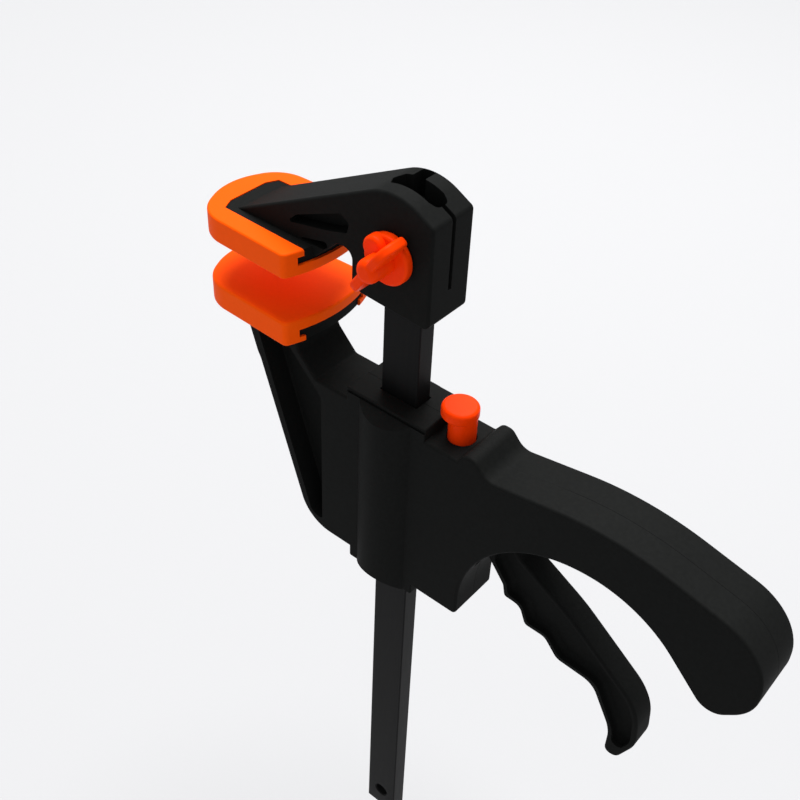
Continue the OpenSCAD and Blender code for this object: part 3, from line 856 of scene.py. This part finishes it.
@dataclass
class Body:
    """The two shells of the moving body, with the pistol grip and the lower jaw."""

    pads: Pads
    half_t: float = 9.2
    end_half_t: float = 9.1
    taper_x: Span = (45.0, 123.0)
    wall: float = 2.4
    deck_z: float = -4.1
    collar_x: float = 14.4
    boss_x: float = 12.8
    block_x: float = 30.2
    box_h: float = 65.5
    bulge_r: float = 13.2
    bulge_z: Span = (-69.6, -1.5)
    room_x: float = -17.2
    pin_bore_r: float = 2.55
    lever_half: float = 4.55
    screw_bore_r: float = 1.55
    screw_head_bore_r: float = 2.7
    screw_seat_y: float = 5.0
    screw_spots: tuple[Point, ...] = ((-20.8, -36.0), (23.4, -58.5), (43.0, -14.5), (107.0, -24.0))

    def handle(self) -> list[Corner]:
        """The handle's outline, from the valley behind the hump to the block's foot."""
        return [
            (36, -5.6, 5), (75, 0.9, 90), (120.9, -9.6, 18), (121.4, -31.4, 14),
            (110.2, -41.8, 6), (86.4, -18, 36),
            (self.block_x, -18, 41), (self.block_x, -self.box_h, 1.5),
        ]

    def outline(self) -> list[Corner]:
        """The body from the side."""
        top = self.pads.lower_z - self.pads.floor_t - self.pads.foot_t / 2
        return [
            (-26.5, self.deck_z, 1.2), (25.9, self.deck_z, 1), (28.3, -0.8, 2.4), (31.6, -0.8, 3),
            *self.handle(),
            (-30.63, -self.box_h, 13), (-57.5, top, 0.0), (-30, top, 0.0), (-34.3, 3.9, 3),
        ]

    def edge_radius(self, x: float, z: float) -> float:
        """How round the side edges are at a point of the outline."""
        return 0.3 if z > self.pads.lower_z - 8.4 or x < -50 else 0.9

    def seam(self, x: float, z: float) -> float:
        """How wide the parting line is: it fades out over the hump."""
        return 0.03 + 0.09 * (smooth_step(x, 52, 60) if z > -12 else 1.0)

    def tapered(self, p: Vector) -> Vector:
        """Thins the body towards the handle's end."""
        t = max(0.0, (p.x - self.taper_x[0]) / (self.taper_x[1] - self.taper_x[0]))
        return Vector((p.x, p.y * (1 + t * (self.end_half_t / self.half_t - 1)), p.z))

    def bulge(self) -> Shape:
        """The round bulge over the spring, cut off by a slope at both ends."""
        half, low, high = self.half_t, *self.bulge_z
        slopes = [
            (half - 1, low, 0.0), (half - 1, high, 0.0), (half, high, 0.0),
            (self.bulge_r + 0.1, high - 2.7, 0.0), (self.bulge_r + 0.1, low + 2.4, 0.0),
            (half, low, 0.0),
        ]
        shape = Shape.lathe([(self.bulge_r, low), (self.bulge_r, high)], (0, 0, 0), sides=144)
        return shape.keep(Shape.slab(rounded(slopes), (-20, 20), lie=Lie.END_ON))

    def outside(self) -> Shape:
        """The far half of the body as a solid."""
        outline = rounded(self.outline(), 3.0)
        shape = Shape.slab(outline, (0, self.half_t), (self.seam, self.edge_radius), rows=5)
        shape.split_at(self.taper_x[0]).reshaped(self.tapered)
        collar = rounded(rectangle((-self.collar_x, self.collar_x), (self.deck_z - 1, 0), 0.55))
        boss = rounded(rectangle((-self.boss_x, self.boss_x), (self.bulge_z[0], -self.box_h + 2), 0.8))
        foot = self.pads.foot().moved(
            Matrix.Translation((0, 0, self.pads.lower_z)) @ Matrix.Scale(-1, 4, (0, 0, 1))
        )
        foot.keep(Shape.block((-100, 100), (0, 50), (-20, 40)))
        return shape.join(
            Shape.slab(collar, (0, self.half_t), (0.12, 0.5)),
            Shape.slab(boss, (0, self.half_t), (0.12, 0.6)),
            self.bulge(),
            foot,
        )

    def hollows(self) -> list[Shape]:
        """What is taken out of the far half."""
        room_half = self.half_t - self.wall
        top = self.deck_z - self.wall
        front = self.room_x - self.wall
        walls = [
            (front, self.deck_z, 0.0), (self.block_x - 2, self.deck_z, 3),
            *self.handle(),
            (front, -self.box_h, 0.0),
        ]
        pocket = [
            (-52, 8.5, 1), (-37, 8.5, 1), (-37.4, 3.2, 3),
            (-24.5, -9.8, 3), (-24.5, -61, 1), (-28.9, -61, 4),
        ]
        groove_x = (-self.collar_x - 1, self.collar_x + 1)
        return [
            Shape.slab(rounded(inset(walls, self.wall)), (-1, room_half), (0.0, 0.8)),
            Shape.post(0, 10.4, (-65.8, top)),
            Shape.block(*BAR_HOLE, (-90, 5)),
            Shape.post(BUTTON_X, 4.4, (top - 1, 4)),
            Shape.slab(rounded(pocket), (2.0, 20), (0.5, 0.0)),
            Shape.block((TRIGGER_PIVOT[0] - 6, 52), (-1, self.lever_half), (-46, -16)),
            Shape.rod(*TRIGGER_PIVOT, self.pin_bore_r, (-1, self.half_t - 0.8)),
            Shape.block(groove_x, (self.half_t - 0.5, 20), (-1.6, -0.5)),
        ]

    def ribs(self) -> list[Shape]:
        """Ribs and bosses inside the far half."""
        deep = (0.12, self.half_t - self.wall + 0.3)
        brake = -14.1
        drive_top = -26.5
        shapes = [
            Shape.block((self.room_x - 0.3, -12), deep, (brake - 3, brake - 0.1)),
            Shape.block((self.room_x - 0.3, -14.6), deep, (brake + 3.9, self.deck_z - self.wall + 0.3)),
            Shape.block((15, 26), deep, (-21.5, -19.5)),
            Shape.block((self.room_x - 0.3, -11.5), deep, (drive_top + 0.2, drive_top + 2.6)),
        ]
        shapes += [Shape.rod(x, z, 3.9, deep) for x, z in self.screw_spots]
        boss = Shape.rod(*TRIGGER_PIVOT, 5, (self.lever_half, deep[1]))
        bore = Shape.rod(*TRIGGER_PIVOT, self.pin_bore_r, (0, self.half_t - 0.8))
        return shapes + [boss.cut(bore)]

    def build(self) -> None:
        """Makes both shells and the screws."""
        half = self.outside().cut(*self.hollows()).join(*self.ribs())
        near = half.copy().moved(Matrix.Scale(-1, 4, (0, 1, 0)))
        for x, z in self.screw_spots:
            near.cut(Shape.rod(x, z, self.screw_bore_r, (-7.0, 1)))
            through = Shape.rod(x, z, self.screw_bore_r, (-1, 20))
            half.cut(through, Shape.rod(x, z, self.screw_head_bore_r, (self.screw_seat_y, 20)))
        show(near, "shell_near", "body", BLACK_NYLON, ["body_shell_near"])
        show(half, "shell_far", "body", BLACK_NYLON, ["body_shell_far"])
        screws = [self.screw(x, z) for x, z in self.screw_spots]
        show(screws[0].join(*screws[1:]), "screws_shell", "body", ZINC_STEEL, ["shell_screws"])

    def screw(self, x: float, z: float) -> Shape:
        """One shell screw with a rounded head and a cross recess."""
        head = [(1.5, 5.0), (2.5, 5.1), (2.6, 5.3), (2.55, 6.1), (2.2, 6.8), (1.6, 7.15), (0.8, 7.3)]
        shape = Shape.threaded(x, z, 1.5, (-6.8, 5.2), 1.1, 0.3)
        shape.join(Shape.lathe(head, (x, 0, z), Lie.UPRIGHT, 40))
        for turn in (0, 90):
            cross = Shape.block((-1.5, 1.5), (6.1, 9), (-0.35, 0.35))
            spin = Matrix.Rotation(math.radians(turn + 20), 4, "Y")
            shape.cut(cross.moved(Matrix.Translation((x, 0, z)) @ spin))
        return shape


@dataclass
class Release:
    """The button, the brake plate under it and its spring."""

    x: float = BUTTON_X
    neck_r: float = 4.1
    head_r: float = 5.45
    lean: float = 1.2
    top: float = 6.7
    flange_top: float = -6.6
    pivot: Point = (-14.0, -12.6)
    arm: float = 34.6
    travel: float = 3.1
    plate_t: float = 3.0
    plate_half: float = 6.2
    plate_end: float = 37.3
    spring_foot: float = -19.4
    spring_r: float = 3.0
    wire_r: float = 0.35
    turns: int = 5
    squeezed: float = 2.9

    @property
    def tilt(self) -> float:
        """The plate's tilt at rest, in radians."""
        return math.asin(self.travel / self.arm)

    def build(self) -> None:
        """Makes the three pieces."""
        half_plate = self.plate_t / 2 / math.cos(self.tilt)
        nib_z = self.pivot[1] + self.arm * math.tan(self.tilt) + half_plate + 0.2
        button = Shape.post(self.x, self.neck_r + 1.3, (self.flange_top - 0.7, self.flange_top))
        button.join(
            Shape.post(self.x, 1.2, (nib_z, self.flange_top - 0.3), 0.2),
            Shape.post(self.x, self.neck_r, (self.flange_top - 0.2, 3.4)),
            self.head(),
        )
        show(button, "button_release", "release_button", ORANGE_PLASTIC, ["release_button"])

        half_t = self.plate_t / 2
        side = [
            (-half_t, -half_t, 1.45), (-half_t, half_t, 1.45),
            (self.plate_end, half_t, 0.5), (self.plate_end, -half_t, 0.5),
        ]
        across = (-self.plate_half, self.plate_half)
        plate = Shape.slab(rounded(side), across, (0.25, 0.25), steps=3)
        hole_x = -self.pivot[0] / math.cos(self.tilt)
        along = (hole_x + BAR_HOLE[0][0], hole_x + BAR_HOLE[0][1])
        plate.cut(Shape.block(along, BAR_HOLE[1], (-5, 5)))
        lean = Matrix.Rotation(-self.tilt, 4, "Y")
        place = Matrix.Translation((self.pivot[0], 0, self.pivot[1])) @ lean
        show(plate.moved(place), "plate_brake", "brake_plate", ZINC_STEEL, ["brake_plate"])

        top = self.pivot[1] - half_plate + (self.arm - 3.35) * math.tan(self.tilt) - 0.1
        span = (self.spring_foot, top)
        spring = Shape.coil((self.x, 0), span, self.spring_r, self.wire_r, self.turns)
        coil = show(spring, "spring_brake", "body", SPRING_STEEL, ["brake_spring"])
        squeeze(coil)

    def head(self) -> Shape:
        """The button's head: a cone under a short drum with a soft top edge."""
        r, soft = self.head_r, 1.1
        quarter = [k * math.pi / 12 for k in range(7)]
        profile = [(self.neck_r - self.lean, 0.9), (r - 0.25, self.top - 3.4), (r, self.top - 3.0)]
        profile += [(r - soft + soft * math.cos(a), self.top - soft + soft * math.sin(a)) for a in quarter]
        profile += [(r * 0.5, self.top + 0.06), (r * 0.15, self.top + 0.09)]
        return Shape.lathe(profile, (self.x - self.lean, 0, -0.09))


@dataclass
class Drive:
    """The plates that step along the bar, the washer and the return spring."""

    span: Span = (-15.6, 22.0)
    half: float = 6.2
    top: float = -26.5
    plate_t: float = 2.5
    gap: float = 0.1
    washer_t: float = 1.2
    washer_r: float = 9.8
    washer_hole_r: float = 7.5
    wire_r: float = 0.8
    spring_foot: float = -65.7
    turns: int = 8
    squeezed: float = 5.1

    def plate(self, z: float) -> Shape:
        """One drive plate with its top at z."""
        plate = Shape.block(self.span, (-self.half, self.half), (z - self.plate_t, z), 0.3)
        return plate.cut(Shape.block(*BAR_HOLE, (z - 5, z + 5)))

    def build(self) -> None:
        """Makes the two plates, the washer and the spring."""
        low_top = self.top - self.plate_t - self.gap
        show(self.plate(self.top), "plate_drive_upper", "drive_plates", ZINC_STEEL, ["drive_plate_upper"])
        show(self.plate(low_top), "plate_drive_lower", "drive_plates", ZINC_STEEL, ["drive_plate_lower"])
        washer_top = low_top - self.plate_t - self.gap
        washer = Shape.post(0, self.washer_r, (washer_top - self.washer_t, washer_top), 0.25)
        washer.cut(Shape.post(0, self.washer_hole_r, (washer_top - 5, washer_top + 5)))
        show(washer, "washer_spring", "drive_plates", ZINC_STEEL, ["spring_washer"])
        spring_r = self.washer_r - self.wire_r - 0.4
        span = (self.spring_foot, washer_top - self.washer_t - self.gap)
        spring = Shape.coil((0, 0), span, spring_r, self.wire_r, self.turns)
        coil = show(spring, "spring_return", "body", SPRING_STEEL, ["return_spring"])
        squeeze(coil)


@dataclass
class Trigger:
    """The squeeze lever and its pin."""

    half: float = 4.25
    web_half: float = 1.2
    pin_r: float = 2.5
    pin_half: float = 8.3
    soft: float = 0.9

    def outline(self) -> list[Corner]:
        """The lever from the side, its nose at the left."""
        return [
            (18.4, -23.1, 1.5), (28, -21.8, 3), (38.4, -21.3, 3), (47.1, -32.4, 5),
            (66, -43.2, 60), (91.8, -63.3, 18), (93.2, -78.5, 12), (88.4, -88.9, 3),
            (84.2, -88.4, 2), (84.2, -78.5, 14), (76, -64, 6), (63.5, -63.2, 4),
            (58.5, -57.5, 3), (51.4, -57.4, 2), (48.8, -51.2, 3), (43.2, -50.9, 1.5),
            (42.3, -46.5, 3), (34, -36, 8), (28.5, -32, 3), (23, -26.3, 1), (18.4, -26.3, 1.5),
        ]

    def pocket(self, side: Side) -> Shape:
        """The hollow in one side of the lever."""
        path = [
            (41, -26.5, 2), (46.4, -33.4, 5), (65.4, -44.4, 60), (90.3, -64, 17),
            (91.6, -78.3, 9), (88.6, -84.2, 2), (85.8, -82, 2), (85.7, -78, 12),
            (77.4, -62.3, 6), (64.4, -61.4, 4), (59.3, -55.8, 3), (52.4, -55.6, 2),
            (49.7, -49.6, 3), (44.6, -48.9, 1.5), (43.8, -45.2, 3), (38.6, -38.5, 3),
        ]
        shape = Shape.slab(rounded(path, 3), (self.web_half, self.half + 2), (1.6, 0.0))
        return shape.moved(Matrix.Scale(side.value, 4, (0, 1, 0)))

    def build(self) -> None:
        """Makes the lever and its pin."""
        across = (-self.half, self.half)
        lever = Shape.slab(rounded(self.outline(), 3), across, (self.soft, self.soft))
        lever.cut(Shape.rod(*TRIGGER_PIVOT, self.pin_r + 0.05, (-20, 20)))
        lever.cut(*(self.pocket(side) for side in Side))
        show(lever, "lever_trigger", "trigger", BLACK_NYLON, ["trigger"])
        pin = Shape.rod(*TRIGGER_PIVOT, self.pin_r, (-self.pin_half, self.pin_half), 0.4)
        show(pin, "pin_trigger", "body", ZINC_STEEL, ["trigger_pin"])


@dataclass(frozen=True)
class Lamp:
    """A soft round light that points at the origin."""

    name: str
    place: tuple[float, float, float]
    size: float
    power: float

    def hang(self) -> None:
        """Puts the light into the scene."""
        data = bpy.data.lights.new(self.name, "AREA")
        data.shape = "DISK"
        data.size = self.size
        data.energy = self.power
        light = new_object(self.name, data)
        turn = (-Vector(self.place)).to_track_quat("-Z", "Y").to_matrix().to_4x4()
        light.matrix_world = Matrix.Translation(self.place) @ turn


@dataclass
class Studio:
    """The floor, the lights and the camera."""

    floor_z: float = -0.2639
    lens: float = 51.72
    camera_at: tuple[float, float, float] = (0.20265, -0.2003, 0.1901)
    azimuth: float = 38.11
    elevation: float = 39.87
    roll: float = 2.63
    sensor: float = 36.0
    nearest: float = 0.01
    floor_half: float = 6.0
    glow: float = 0.5
    glow_color: tuple[float, float, float] = (0.98, 0.99, 1.0)
    sun_tilt: tuple[float, float] = (-14.0, -10.0)
    sun_angle: float = 45.0
    sun_power: float = 4.6
    lamps: tuple[Lamp, ...] = (
        Lamp("front", (0.62, -0.62, 0.42), 0.12, 0.22),
        Lamp("back", (-0.3, 0.7, 0.66), 0.5, 3.0),
    )

    def build_camera(self) -> None:
        """Sets the camera at the object's viewing angle."""
        az, el, roll = (math.radians(a) for a in (self.azimuth, self.elevation, self.roll))
        away = Vector((math.sin(az) * math.cos(el), -math.cos(az) * math.cos(el), math.sin(el)))
        right = Vector((math.cos(az), math.sin(az), 0))
        up = away.cross(right)
        tilted_right = right * math.cos(roll) + up * math.sin(roll)
        tilted_up = up * math.cos(roll) - right * math.sin(roll)
        turn = Matrix((tilted_right, tilted_up, away)).transposed().to_4x4()
        data = bpy.data.cameras.new("camera")
        data.lens = self.lens
        data.sensor_width = self.sensor
        data.clip_start = self.nearest
        camera = new_object("camera", data)
        camera.matrix_world = Matrix.Translation(self.camera_at) @ turn
        bpy.context.scene.camera = camera

    def build_floor(self) -> None:
        """Lays a plain pale floor."""
        bm = bmesh.new()
        bmesh.ops.create_grid(bm, x_segments=1, y_segments=1, size=self.floor_half)
        mesh = bpy.data.meshes.new("floor")
        bm.to_mesh(mesh)
        bm.free()
        floor = new_object("floor", mesh)
        floor.location.z = self.floor_z
        mesh.materials.append(PALE_FLOOR.material())

    def build_lights(self) -> None:
        """Hangs the soft lights and sets the world's glow."""
        for lamp in self.lamps:
            lamp.hang()
        data = bpy.data.lights.new("ceiling", "SUN")
        data.angle = math.radians(self.sun_angle)
        data.energy = self.sun_power
        ceiling = new_object("ceiling", data)
        ceiling.rotation_euler = (*map(math.radians, self.sun_tilt), 0)
        bpy.context.scene.view_settings.view_transform = "Standard"
        world = bpy.data.worlds.new("studio")
        bpy.context.scene.world = world
        world.use_nodes = True
        background = world.node_tree.nodes["Background"]
        background.inputs["Color"].default_value = (*self.glow_color, 1)
        background.inputs["Strength"].default_value = self.glow

    def build(self) -> None:
        """Sets up the camera, the floor and the lights."""
        self.build_camera()
        self.build_floor()
        self.build_lights()


def write_sizes() -> None:
    """Brings the view layer up to date.
    """
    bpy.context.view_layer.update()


def main() -> None:
    """Builds the studio and every sub-assembly in order."""
    logging.basicConfig(level=logging.INFO, format="%(name)s %(message)s")
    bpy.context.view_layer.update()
    Studio().build()
    pads = Pads()
    pads.build()
    BarAndJaw(pads).build()
    LockKey().build()
    Body(pads).build()
    Release().build()
    Drive().build()
    Trigger().build()
    write_sizes()


if __name__ == "__main__":
    main()
